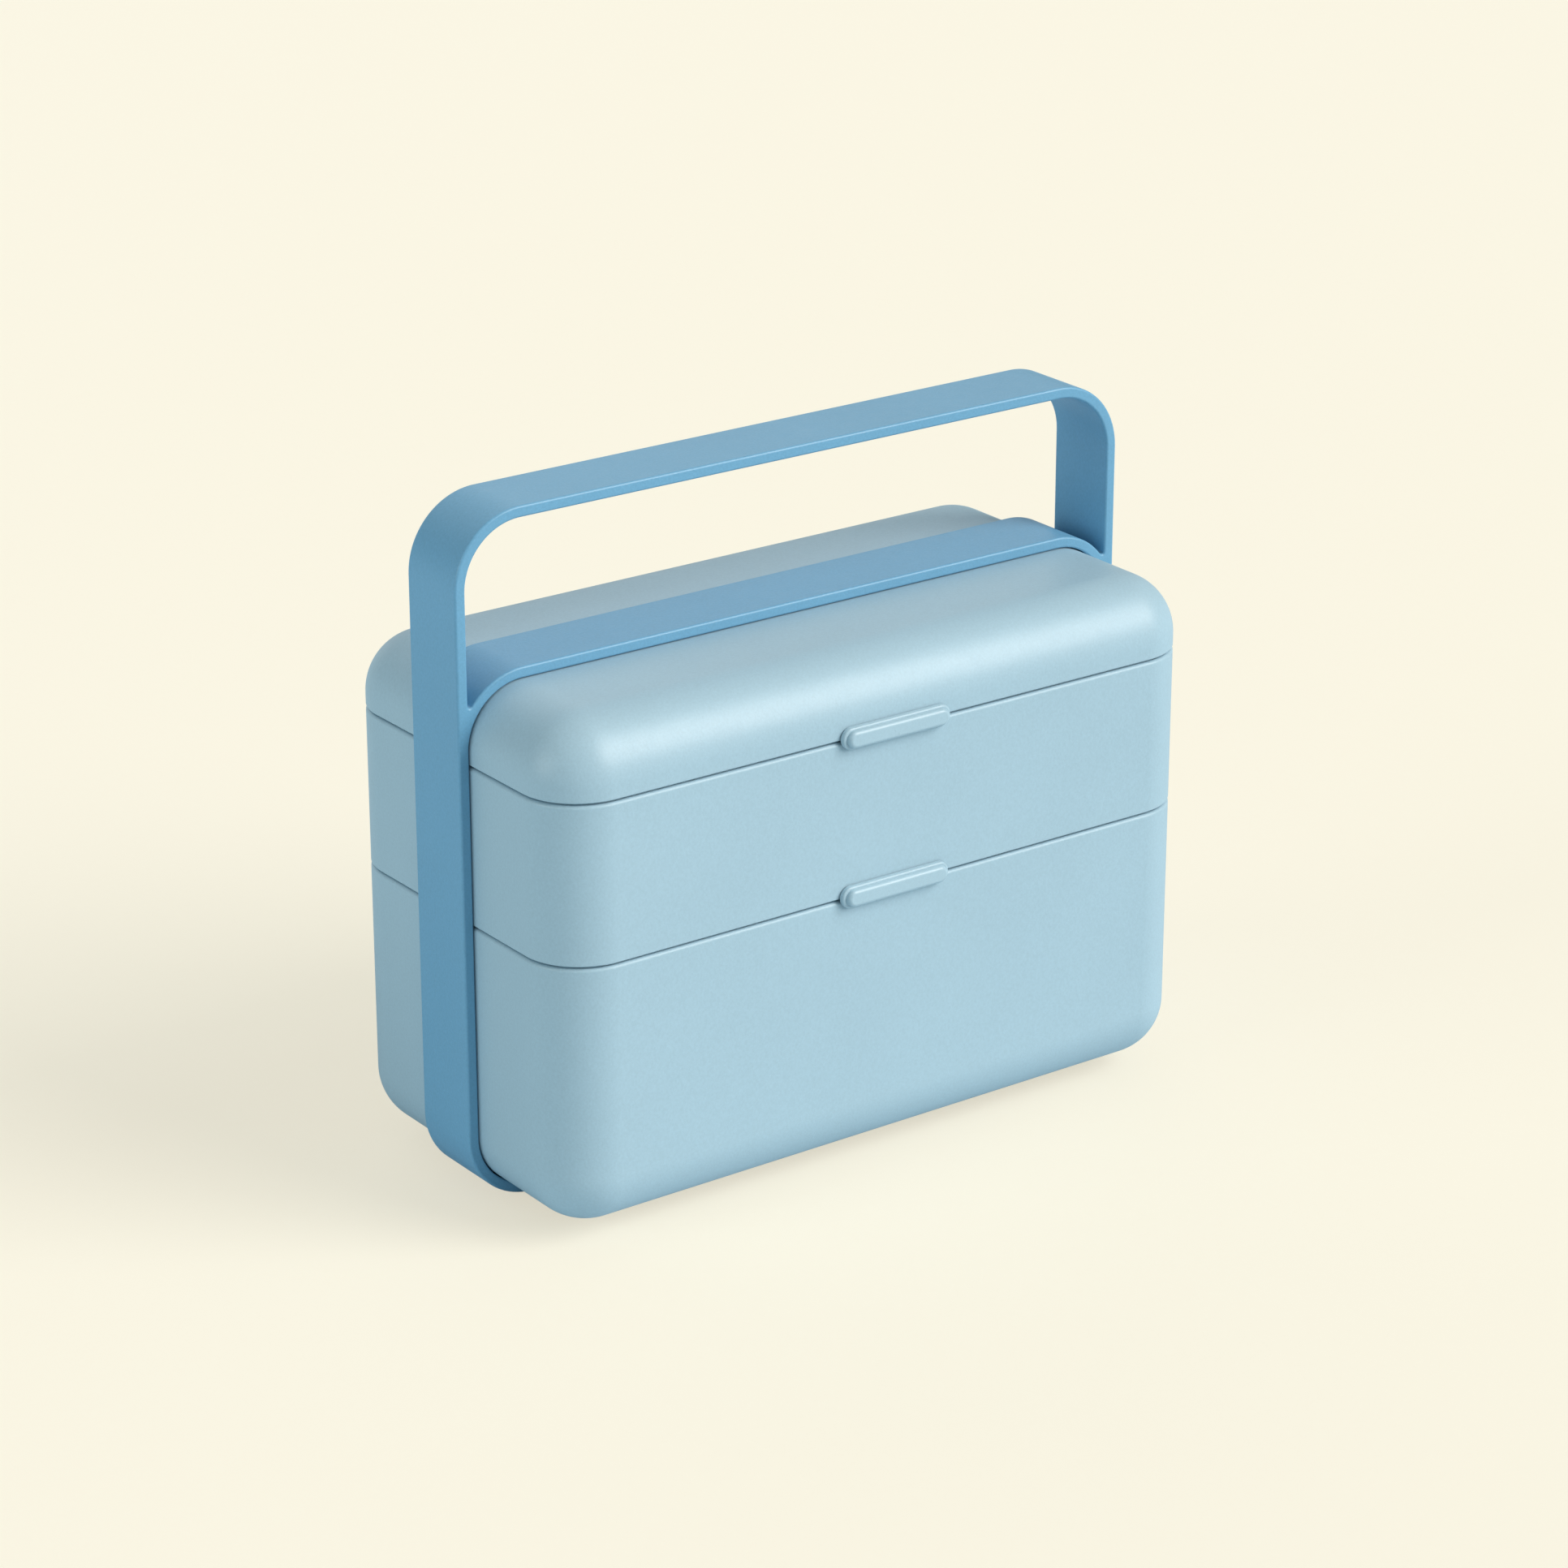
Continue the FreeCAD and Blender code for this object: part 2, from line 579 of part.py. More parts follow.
pad(carry_strap, arch, "Sizes.strap_width", both_ways=True)


def at_crotch(edge):
    """The sharp edges where the handle's legs meet the band's rounded shoulders."""
    box = edge.BoundBox
    at_leg = abs(abs(box.XMin) - value_of(inner_reach)) < 0.01 and box.XLength < 0.01
    above = box.ZMin > value_of(f"{BAND_TOP} - Sizes.strap_radius")
    return at_leg and above and box.YLength > 1 and box.ZLength < 0.01 and (
        box.ZMax < value_of(BAND_TOP))


round_edges(carry_strap, "crotch", "Sizes.crotch_round", at_crotch)
front_face = value_of("Sizes.strap_width / 2")
round_edges(carry_strap, "rims", "Sizes.strap_round",
            lambda edge: abs(abs(edge.BoundBox.YMin) - front_face) < 0.01 and edge.BoundBox.YLength < 0.01)


# ---------------------------------------------------------------- checks and export
nodes = [lower_container, upper_container, top_cover, *lids, lower_divider, cutlery_tray,
         knife, fork, spoon, carry_strap]
doc.recompute()
for item in doc.Objects:
    if {"Invalid", "Error"} & set(item.State):
        raise RuntimeError(f"{item.Label}: {item.State}")
for node in nodes:
    if node.Shape.isNull() or not node.Shape.isValid() or len(node.Shape.Solids) != 1:
        raise RuntimeError(f"{node.Label}: bad shape, {len(node.Shape.Solids)} solids")

os.makedirs("parts", exist_ok=True)
for node in nodes:
    node.Shape.exportStep(f"parts/{node.Label}.step")
    box = node.Shape.BoundBox
    print(f"{node.Label:18s} {node.Shape.Volume / 1000:8.2f} cm3  x {box.XMin:7.2f} {box.XMax:7.2f}"
          f"  y {box.YMin:7.2f} {box.YMax:7.2f}  z {box.ZMin:7.2f} {box.ZMax:7.2f}")
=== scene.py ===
import math

import bmesh
import bpy
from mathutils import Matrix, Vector


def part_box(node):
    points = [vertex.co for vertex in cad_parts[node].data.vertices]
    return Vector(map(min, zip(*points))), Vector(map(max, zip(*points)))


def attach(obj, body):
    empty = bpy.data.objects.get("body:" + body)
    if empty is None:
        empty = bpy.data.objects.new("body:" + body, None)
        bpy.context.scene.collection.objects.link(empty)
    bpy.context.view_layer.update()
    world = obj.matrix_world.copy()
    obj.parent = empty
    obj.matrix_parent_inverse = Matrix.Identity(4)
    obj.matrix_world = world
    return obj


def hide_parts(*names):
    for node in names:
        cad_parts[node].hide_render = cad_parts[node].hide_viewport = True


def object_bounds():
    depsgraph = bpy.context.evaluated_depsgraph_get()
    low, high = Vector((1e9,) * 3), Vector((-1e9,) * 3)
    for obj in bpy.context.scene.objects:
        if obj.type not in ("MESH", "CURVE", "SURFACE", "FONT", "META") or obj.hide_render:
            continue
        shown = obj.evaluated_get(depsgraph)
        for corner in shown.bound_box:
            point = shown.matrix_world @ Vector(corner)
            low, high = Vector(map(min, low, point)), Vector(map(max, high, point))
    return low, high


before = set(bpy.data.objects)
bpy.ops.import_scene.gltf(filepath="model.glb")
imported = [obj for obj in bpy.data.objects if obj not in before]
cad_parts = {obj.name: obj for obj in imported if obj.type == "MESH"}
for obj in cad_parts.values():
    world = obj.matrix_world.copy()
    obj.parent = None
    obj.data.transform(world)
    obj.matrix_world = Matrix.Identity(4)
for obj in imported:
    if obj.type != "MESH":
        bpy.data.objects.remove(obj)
cad_low, cad_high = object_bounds()


# ------------------------------------------------------------------ lower container
# The deep food container at the bottom of the stack, injection moulded in satin polypropylene.
# The strap passes under it, so a foot rail as tall as the strap is moulded under its floor.
# Its rim has a rebate for the inner lid's flange, and a notch in front for the lid's tongue.
mm = 0.001
box_low, box_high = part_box("lower_container")
half_length = box_high.x
half_width = box_high.y
corner_round = 15.2 * mm
edge_round = 14.9 * mm
wall = 2.6 * mm
rim_lip = 1.3 * mm
rim_round = 0.85 * mm
seam_gap = 0.55 * mm
flange_thick = 2.0 * mm
tongue_half = 12.0 * mm
tongue_thick = 1.1 * mm
tongue_drop = 0.3 * mm
fit_gap = 0.35 * mm
strap_room = 3.0 * mm
lip_edge = 0.2 * mm
notch_corner = 0.5 * mm
# how closely an edge or face has to lie at a place, or along the outline, to be picked there
near = 0.03 * mm
outline_slack = 0.1 * mm

floor_level = box_low.z + strap_room
lower_rim = box_high.z
lower_seam = lower_rim + seam_gap


def clear():
    """Leaves edit mode, with nothing selected."""
    if bpy.context.mode != "OBJECT":
        bpy.ops.object.mode_set(mode="OBJECT")
    bpy.ops.object.select_all(action="DESELECT")


def block(name, low, high):
    """A cube stretched between two corners, selected alone and open in edit mode."""
    clear()
    low, high = Vector(low), Vector(high)
    bpy.ops.mesh.primitive_cube_add(size=1, location=(low + high) / 2)
    piece = bpy.context.object
    piece.name = name
    piece.scale = high - low
    bpy.ops.object.transform_apply(location=True, rotation=True, scale=True)
    bpy.ops.object.mode_set(mode="EDIT")
    return piece


def close(piece):
    """Leaves edit mode with only this piece selected."""
    clear()
    piece.select_set(True)
    bpy.context.view_layer.objects.active = piece
    return piece


def pick(kind, test):
    """Selects the faces or edges that a test passes, in edit mode."""
    bpy.ops.mesh.select_mode(type=kind)
    bpy.ops.mesh.select_all(action="DESELECT")
    work = bmesh.from_edit_mesh(bpy.context.object.data)
    for element in work.edges if kind == "EDGE" else work.faces:
        if test(element):
            element.select_set(True)
    work.select_flush_mode()
    bmesh.update_edit_mesh(bpy.context.object.data)


def along(axis):
    """A test for edges that run along one axis."""
    def runs(edge):
        span = edge.verts[0].co - edge.verts[1].co
        return abs(span[axis]) > span.length * 0.999
    return runs


def at(axis, place):
    """A test for edges or faces that lie wholly at one place along an axis."""
    return lambda element: all(abs(v.co[axis] - place) < near for v in element.verts)


def margin_of(point):
    """How far a point stands outside the box's rounded outline; inside is negative."""
    past_x = max(abs(point.x) - (half_length - corner_round), 0)
    past_y = max(abs(point.y) - (half_width - corner_round), 0)
    return math.hypot(past_x, past_y) - corner_round


def rim_at(level, margin):
    """A test for edges at one level that follow the box's outline, moved by a margin."""
    level_test = at(2, level)

    def follows(edge):
        return level_test(edge) and all(abs(margin_of(v.co) - margin) < outline_slack for v in edge.verts)
    return follows


def bevel(test, radius, segments):
    """Rounds the edges that a test passes, where two faces meet at an angle."""
    pick("EDGE", lambda edge: edge.calc_face_angle(0) > 0.4 and test(edge))
    bpy.ops.mesh.bevel(offset=radius, segments=segments, affect="EDGES", clamp_overlap=False)


def inset(thickness):
    """Draws the selected faces' outline inwards, or outwards where the thickness is negative."""
    bpy.ops.mesh.inset(thickness=thickness, use_even_offset=True, use_boundary=True)


def pull(shift):
    """Extrudes the selected faces by a shift."""
    bpy.ops.mesh.extrude_region_move(TRANSFORM_OT_translate={"value": shift})


def combine(piece, tool, operation):
    """Joins or cuts the piece with a tool, which is used up."""
    close(piece)
    step = piece.modifiers.new(operation, "BOOLEAN")
    step.operation = operation
    step.solver = "EXACT"
    step.object = tool
    bpy.ops.object.modifier_apply(modifier=step.name)
    bpy.data.objects.remove(tool)


def rounded_block(name, margin, low, high):
    """A block that follows the box's outline, moved by a margin, between two levels."""
    piece = block(name, (-half_length - margin, -half_width - margin, low),
                  (half_length + margin, half_width + margin, high))
    bevel(along(2), corner_round + margin, 24)
    return piece


def hollow_through(thickness):
    """Opens a block from top to bottom and leaves a ring of one thickness."""
    pick("FACE", lambda face: abs(face.normal.z) > 0.9)
    inset(thickness)
    bpy.ops.mesh.bridge_edge_loops()


def finish_mesh(piece, body, angle=32):
    """Merges doubles, smooths the round parts and keeps the flats flat; the piece rides on a body."""
    close(piece)
    bpy.ops.object.mode_set(mode="EDIT")
    bpy.ops.mesh.select_all(action="SELECT")
    bpy.ops.mesh.remove_doubles(threshold=0.002 * mm)
    bpy.ops.mesh.normals_make_consistent(inside=False)
    close(piece)
    bpy.ops.object.shade_smooth_by_angle(angle=math.radians(angle))
    flats = piece.modifiers.new("flats", "WEIGHTED_NORMAL")
    flats.keep_sharp = True
    bpy.ops.object.modifier_apply(modifier=flats.name)
    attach(piece, body)


def make_container(name, base, rim, under_round, inner_round):
    """Outer shell, stepped rim and hollow of a food container, with the notch for the lid's tongue."""
    piece = rounded_block(name, 0, base, rim)
    pick("FACE", lambda face: face.normal.z > 0.9)
    inset(rim_lip)
    rebate = flange_thick - seam_gap
    pull((0, 0, -rebate))
    inset(wall - rim_lip)
    pull((0, 0, base + wall - rim + rebate))
    bevel(at(2, base + wall), inner_round, 12)
    bevel(at(2, base), under_round, 24)
    bevel(rim_at(rim, 0), rim_round, 6)
    bevel(rim_at(rim, -rim_lip), lip_edge, 2)
    notch_drop = tongue_drop + tongue_thick + fit_gap - seam_gap
    notch = block("notch", (-tongue_half - fit_gap, -half_width - 2 * mm, rim - notch_drop),
                  (tongue_half + fit_gap, -half_width + rim_lip + 0.5 * mm, rim + 2 * mm))
    bevel(lambda edge: along(1)(edge) and at(2, rim - notch_drop)(edge), notch_corner, 3)
    combine(piece, close(notch), "DIFFERENCE")
    return piece


def skin_group():
    """The spark-eroded skin that a mould leaves: fine grain, slow mottling and faint handling rub."""
    group = bpy.data.node_groups.new("moulded_skin", "ShaderNodeTree")
    face = group.interface
    for name, low in (("Grain size", 0.35), ("Mottle", 0.02), ("Rub", 0.08)):
        face.new_socket(name, in_out="INPUT", socket_type="NodeSocketFloat").default_value = low
    for name in ("Height", "Shade", "Roughness"):
        face.new_socket(name, in_out="OUTPUT", socket_type="NodeSocketFloat")
    nodes, links = group.nodes, group.links
    inputs, outputs = nodes.new("NodeGroupInput"), nodes.new("NodeGroupOutput")
    place = nodes.new("ShaderNodeTexCoord")

    def value(operation, first, second, third=None):
        """One sum, of numbers or of what other nodes put out."""
        node = nodes.new("ShaderNodeMath")
        node.operation = operation
        for number, source in enumerate((first, second, third)):
            if source is None:
                continue
            if isinstance(source, (int, float)):
                node.inputs[number].default_value = source
            else:
                links.new(source, node.inputs[number])
        return node.outputs[0]

    def noise(scale, detail, roughness=0.5):
        """Noise that stays with the piece as it moves."""
        node = nodes.new("ShaderNodeTexNoise")
        if isinstance(scale, (int, float)):
            node.inputs["Scale"].default_value = scale
        else:
            links.new(scale, node.inputs["Scale"])
        node.inputs["Detail"].default_value = detail
        node.inputs["Roughness"].default_value = roughness
        links.new(place.outputs["Object"], node.inputs["Vector"])
        return node.outputs["Fac"]

    grains_per_metre = value("DIVIDE", 1000.0, inputs.outputs["Grain size"])
    grain = noise(grains_per_metre, 3.0, 0.6)
    mottle = noise(26.0, 3.0)
    cloud = noise(340.0, 2.0)

    # handling rub: short streaks, long across the piece and thin up it, kept to a few patches
    stretch = nodes.new("ShaderNodeMapping")
    stretch.inputs["Rotation"].default_value = (0.3, 0.1, 0.5)
    stretch.inputs["Scale"].default_value = (90, 90, 2600)
    links.new(place.outputs["Object"], stretch.inputs["Vector"])
    streak = nodes.new("ShaderNodeTexNoise")
    streak.inputs["Scale"].default_value = 1.0
    streak.inputs["Detail"].default_value = 2.0
    links.new(stretch.outputs["Vector"], streak.inputs["Vector"])
    lines = nodes.new("ShaderNodeMapRange")
    lines.inputs["From Min"].default_value = 0.66
    lines.inputs["From Max"].default_value = 0.80
    links.new(streak.outputs["Fac"], lines.inputs["Value"])
    patches = nodes.new("ShaderNodeMapRange")
    patches.inputs["From Min"].default_value = 0.50
    patches.inputs["From Max"].default_value = 0.66
    links.new(mottle, patches.inputs["Value"])
    rub = value("MULTIPLY", value("MULTIPLY", lines.outputs["Result"], patches.outputs["Result"]),
                inputs.outputs["Rub"])

    height = value("ADD", grain, value("MULTIPLY", cloud, 0.35))
    links.new(height, outputs.inputs["Height"])
    speckle = value("MULTIPLY", value("SUBTRACT", grain, 0.5), 2.6)
    sway = value("ADD", value("SUBTRACT", mottle, 0.5), speckle)
    shade = value("MULTIPLY_ADD", sway, inputs.outputs["Mottle"], 1.0)
    links.new(shade, outputs.inputs["Shade"])
    rough = value("MULTIPLY_ADD", value("SUBTRACT", cloud, 0.5), 0.12, value("MULTIPLY", rub, -1.0))
    links.new(rough, outputs.inputs["Roughness"])
    return group


moulded_skin = skin_group()


def moulded_plastic(name, colour, roughness, grain_size, grain_depth, mottle):
    """A moulded finish: one colour, broken up by the mould's skin in shade, roughness and height.

    The grain's size and depth are in millimetres.
    """
    material = bpy.data.materials.new(name)
    material.use_nodes = True
    nodes, links = material.node_tree.nodes, material.node_tree.links
    shader = nodes["Principled BSDF"]
    shader.inputs["IOR"].default_value = 1.49
    skin = nodes.new("ShaderNodeGroup")
    skin.node_tree = moulded_skin
    skin.inputs["Grain size"].default_value = grain_size
    skin.inputs["Mottle"].default_value = mottle
    tint = nodes.new("ShaderNodeHueSaturation")
    tint.name = "tint"
    tint.inputs["Color"].default_value = (*colour, 1)
    links.new(skin.outputs["Shade"], tint.inputs["Value"])
    links.new(tint.outputs["Color"], shader.inputs["Base Color"])
    rough = nodes.new("ShaderNodeMath")
    rough.operation = "ADD"
    rough.use_clamp = True
    rough.inputs[1].default_value = roughness
    links.new(skin.outputs["Roughness"], rough.inputs[0])
    links.new(rough.outputs[0], shader.inputs["Roughness"])
    bump = nodes.new("ShaderNodeBump")
    bump.inputs["Strength"].default_value = 1.0
    bump.inputs["Distance"].default_value = grain_depth * mm
    links.new(skin.outputs["Height"], bump.inputs["Height"])
    links.new(bump.outputs["Normal"], shader.inputs["Normal"])
    return material


shell_colour = (0.409, 0.562, 0.644)
shell_plastic = moulded_plastic("shell_plastic", shell_colour, roughness=0.40,
                                grain_size=0.60, grain_depth=0.032, mottle=0.08)

floor_round = 11.5 * mm
lower_container = make_container("lower_container_shell", floor_level, lower_rim, edge_round, floor_round)

# The foot rail: a rounded ring under the floor, open at both ends where the strap passes.
rail_inset = 20 * mm
rail_corner = 9 * mm
rail_thick = 3.2 * mm
rail_edge = 0.6 * mm
passage_half = 11 * mm
rail = block("rail", (rail_inset - half_length, rail_inset - half_width, box_low.z),
             (half_length - rail_inset, half_width - rail_inset, floor_level + 0.4 * mm))
bevel(along(2), rail_corner, 12)
hollow_through(rail_thick)
bevel(at(2, box_low.z), rail_edge, 3)
passage = block("passage", (-half_length, -passage_half, -5 * mm),
                (half_length, passage_half, floor_level + 2 * mm))
combine(close(rail), close(passage), "DIFFERENCE")
combine(lower_container, rail, "UNION")

# Two pairs of guides on the front and back walls hold the divider upright.
divider_low, divider_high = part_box("lower_divider")
guide_thick = 1.5 * mm
guide_reach = 2.2 * mm
guide_edge = 0.4 * mm
guide_base = floor_level + 16 * mm
guide_top = guide_base + 36 * mm
wall_face = half_width - wall
for side in (-1, 1):
    for start in (divider_high.x + fit_gap, divider_low.x - fit_gap - guide_thick):
        ends = sorted((side * (wall_face - guide_reach), side * (wall_face + 0.5 * mm)))
        guide = block("guide", (start, ends[0], guide_base), (start + guide_thick, ends[1], guide_top))
        bevel(at(1, side * (wall_face - guide_reach)), guide_edge, 3)
        combine(lower_container, close(guide), "UNION")

finish_mesh(lower_container, "lower_container")
lower_container.data.materials.append(shell_plastic)
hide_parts("lower_container")


# ------------------------------------------------------------------ divider
# A loose partition in the lower container, moulded in milky polypropylene. It drops between the
# guides, and a finger notch in its top edge helps to pull it out.
divider_foot = 12.5 * mm
divider_shoulder = 1.3 * mm
divider_edge = 0.3 * mm
finger_radius = 11 * mm
finger_rise = 4 * mm


def let_light_in(material, weight, depth):
    """Makes a finish translucent, so that light spreads under its surface."""
    shader = material.node_tree.nodes["Principled BSDF"]
    shader.inputs["Subsurface Weight"].default_value = weight
    shader.inputs["Subsurface Scale"].default_value = depth


milky_plastic = moulded_plastic("milky_plastic", (0.72, 0.78, 0.79), roughness=0.46,
                                grain_size=0.4, grain_depth=0.008, mottle=0.03)
let_light_in(milky_plastic, 0.15, 2 * mm)

divider = block("divider_panel", divider_low, divider_high)
bevel(lambda edge: along(0)(edge) and at(2, divider_low.z)(edge), divider_foot, 16)
bevel(lambda edge: along(0)(edge) and at(2, divider_high.z)(edge), divider_shoulder, 5)
clear()
bpy.ops.mesh.primitive_cylinder_add(vertices=64, radius=finger_radius, depth=10 * mm,
                                    rotation=(0, math.pi / 2, 0),
                                    location=(divider_low.x, 0, divider_high.z + finger_rise))
finger_notch = bpy.context.object
bpy.ops.object.transform_apply(location=True, rotation=True, scale=True)
combine(divider, finger_notch, "DIFFERENCE")
bpy.ops.object.mode_set(mode="EDIT")
bevel(lambda edge: at(0, divider_low.x)(edge) or at(0, divider_high.x)(edge), divider_edge, 3)
finish_mesh(divider, "lower_divider")
divider.data.materials.append(milky_plastic)
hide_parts("lower_divider")


# ------------------------------------------------------------------ inner lids
# Each container is closed by a recessed airtight lid, moulded in the shell's plastic. Its flange lies
# in the rim's rebate, its skirt carries the gasket, and its tongue comes out through the rim's notch
# to a two-step pull tab on the front.
lid_depth = 7.0 * mm
well_depth = 5.2 * mm
gasket_drop = 3.6 * mm
gasket_height = 2.2 * mm
gasket_seat = 1.0 * mm
flange_margin = -rim_lip - 0.15 * mm
skirt_margin = -wall - fit_gap
well_margin = skirt_margin - 1.9 * mm
well_border = 1.6 * mm
bead_width = 1.0 * mm
bead_height = 0.35 * mm
vent_place = Vector((73 * mm, 0, 0))
vent_radius = 2.8 * mm
tab_gap = 0.3 * mm
tab_rise = 0.35 * mm
tab_length = 31.2 * mm
tab_height = 5.4 * mm
tab_thick = 1.2 * mm
tab_edge = 0.5 * mm
grip_length = 29.2 * mm
grip_height = 4.2 * mm
grip_thick = 1.3 * mm
grip_edge = 0.95 * mm

lid_plastic = moulded_plastic("lid_plastic", (0.425, 0.577, 0.657), roughness=0.30,
                              grain_size=0.55, grain_depth=0.018, mottle=0.06)


def cylinder(name, radius, low, high, middle):
    """An upright cylinder between two levels."""
    clear()
    bpy.ops.mesh.primitive_cylinder_add(vertices=64, radius=radius, depth=high - low,
                                        location=(middle.x, middle.y, (low + high) / 2))
    piece = bpy.context.object
    piece.name = name
    bpy.ops.object.transform_apply(location=True, rotation=True, scale=True)
    bpy.ops.object.mode_set(mode="EDIT")
    return piece


def pill(length, height, back, front, level, softness):
    """A flat pill facing front: full round ends, and a soft edge round its face."""
    piece = block("pill", (-length / 2, front, level - height / 2), (length / 2, back, level + height / 2))
    bevel(along(1), height / 2 - 0.05 * mm, 12)
    bevel(at(1, front), softness, 5)
    return close(piece)


def make_inner_lid(tier, seam):
    """One tier's lid, whose flange's top lies at the seam."""
    piece = rounded_block(f"{tier}_inner_lid_body", flange_margin, seam - flange_thick, seam)
    # the skirt below the flange, in three steps: above, at and below the gasket's groove
    pick("FACE", lambda face: face.normal.z < -0.9)
    inset(flange_margin - skirt_margin)
    pull((0, 0, flange_thick - gasket_drop))
    pull((0, 0, -gasket_height))
    pull((0, 0, gasket_drop + gasket_height - lid_depth))
    groove_middle = seam - gasket_drop - gasket_height / 2
    pick("FACE", lambda face: abs(face.normal.z) < 0.1
         and abs(face.calc_center_median().z - groove_middle) < near)
    bpy.ops.mesh.extrude_region_shrink_fatten(TRANSFORM_OT_shrink_fatten={"value": -gasket_seat})
    # the well above, with a low bead round its floor
    pick("FACE", lambda face: face.normal.z > 0.9 and at(2, seam)(face))
    inset(flange_margin - well_margin)
    pull((0, 0, -well_depth))
    inset(well_border)
    pull((0, 0, bead_height))
    inset(bead_width)
    pull((0, 0, -bead_height))
    bevel(rim_at(seam - well_depth, well_margin), 0.9 * mm, 5)
    bevel(rim_at(seam, well_margin), 0.45 * mm, 4)
    bevel(rim_at(seam, flange_margin), 0.25 * mm, 3)
    bevel(rim_at(seam - lid_depth, skirt_margin), 0.5 * mm, 4)
    close(piece)
    vent = cylinder("vent", vent_radius, seam - lid_depth - 2 * mm, seam, vent_place)
    combine(piece, close(vent), "DIFFERENCE")
    back = -half_width - tab_gap
    tongue_top = seam - tongue_drop
    tongue = block("tongue", (-tongue_half, back - 0.5 * mm, tongue_top - tongue_thick),
                   (tongue_half, -half_width + rim_lip + 0.8 * mm, tongue_top))
    combine(piece, close(tongue), "UNION")
    middle = seam + tab_rise
    plate = pill(tab_length, tab_height, back, back - tab_thick, middle, tab_edge)
    combine(piece, plate, "UNION")
    grip_front = back - tab_thick - grip_thick
    grip = pill(grip_length, grip_height, back - 0.4 * mm, grip_front, middle, grip_edge)
    combine(piece, grip, "UNION")
    finish_mesh(piece, f"{tier}_inner_lid")
    piece.data.materials.append(lid_plastic)
    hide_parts(f"{tier}_inner_lid")


upper_low, upper_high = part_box("upper_container")
upper_rim = upper_high.z
cover_seam = upper_rim + seam_gap
seams = {"lower": lower_seam, "upper": cover_seam}
for tier, seam in seams.items():
    make_inner_lid(tier, seam)


# ------------------------------------------------------------------ gaskets and vent plugs
# A silicone ring is stretched into each lid's groove and seals on the container's wall. A silicone
# plug closes the lid's vent hole; lifting its head lets air in, so that the lid comes off easily.
silicone = moulded_plastic("silicone", (0.70, 0.76, 0.78), roughness=0.38,
                           grain_size=0.8, grain_depth=0.006, mottle=0.03)
let_light_in(silicone, 0.3, 1.5 * mm)

gasket_slack = 0.05 * mm
gasket_round = 0.55 * mm
stem_radius = 2.5 * mm
tail_round = 1.2 * mm
plug_rim = 1.6 * mm
plug_rim_round = 0.35 * mm
plug_dish = 0.6 * mm

for tier, seam in seams.items():
    top = seam - gasket_drop - gasket_slack
    base = top - gasket_height + 2 * gasket_slack
    outer = -wall - 2 * gasket_slack
    gasket = rounded_block(f"{tier}_gasket_ring", outer, base, top)
    hollow_through(outer - skirt_margin + gasket_seat - gasket_slack)
    # the outer edges are rounded, so that the ring slides in without catching
    bevel(rim_at(top, outer), gasket_round, 4)
    bevel(rim_at(base, outer), gasket_round, 4)
    finish_mesh(gasket, f"{tier}_inner_lid")
    gasket.data.materials.append(silicone)
    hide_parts(f"{tier}_lid_gasket")

    plug_low, plug_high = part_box(f"{tier}_vent_plug")
    head_radius = (plug_high.x - plug_low.x) / 2
    head_base = seam - well_depth
    plug = cylinder(f"{tier}_vent_stopper", head_radius, head_base + 0.02 * mm, plug_high.z, vent_place)
    # a dished head with a raised rim
    pick("FACE", lambda face: face.normal.z > 0.9)
    inset(plug_rim)
    pull((0, 0, -plug_dish))
    bevel(at(2, plug_high.z), plug_rim_round, 4)
    # the stem through the lid, ending in a rounded tail
    pick("FACE", lambda face: face.normal.z < -0.9)
    inset(head_radius - stem_radius)
    pull((0, 0, plug_low.z - head_base))
    bevel(at(2, plug_low.z), tail_round, 5)
    finish_mesh(close(plug), f"{tier}_vent_plug")
    plug.data.materials.append(silicone)
    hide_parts(f"{tier}_vent_plug")


# ------------------------------------------------------------------ upper container
# The shallow food container. A foot ring under its floor drops into the lower lid's well, so the
# two tiers can't slide on each other.
foot_margin = well_margin - fit_gap
foot_thick = 1.8 * mm
foot_edge = 0.3 * mm
seam_edge = 0.4 * mm
upper_floor_round = 7 * mm

upper_container = make_container("upper_container_shell", lower_seam, upper_rim, seam_edge, upper_floor_round)
foot = rounded_block("foot", foot_margin, upper_low.z, lower_seam + 0.3 * mm)
hollow_through(foot_thick)
bevel(at(2, upper_low.z), foot_edge, 2)
combine(upper_container, close(foot), "UNION")
finish_mesh(upper_container, "upper_container")
upper_container.data.materials.append(shell_plastic)
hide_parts("upper_container")


# ------------------------------------------------------------------ cutlery tray
# A thin moulded tray that lies in the upper lid's well under the dome, with one trough for each
# utensil.
tray_low, tray_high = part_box("cutlery_tray")
tray_middle = (tray_low.x + tray_high.x) / 2
trough_half = Vector((69.8 * mm, 11.3 * mm, 0))
trough_pitch = 24.2 * mm
trough_floor = tray_high.z - 5.6 * mm
trough_corner = 7 * mm
trough_round = 1.6 * mm
tray_corner = 9 * mm
tray_round = 0.8 * mm
tray_edge = 0.3 * mm

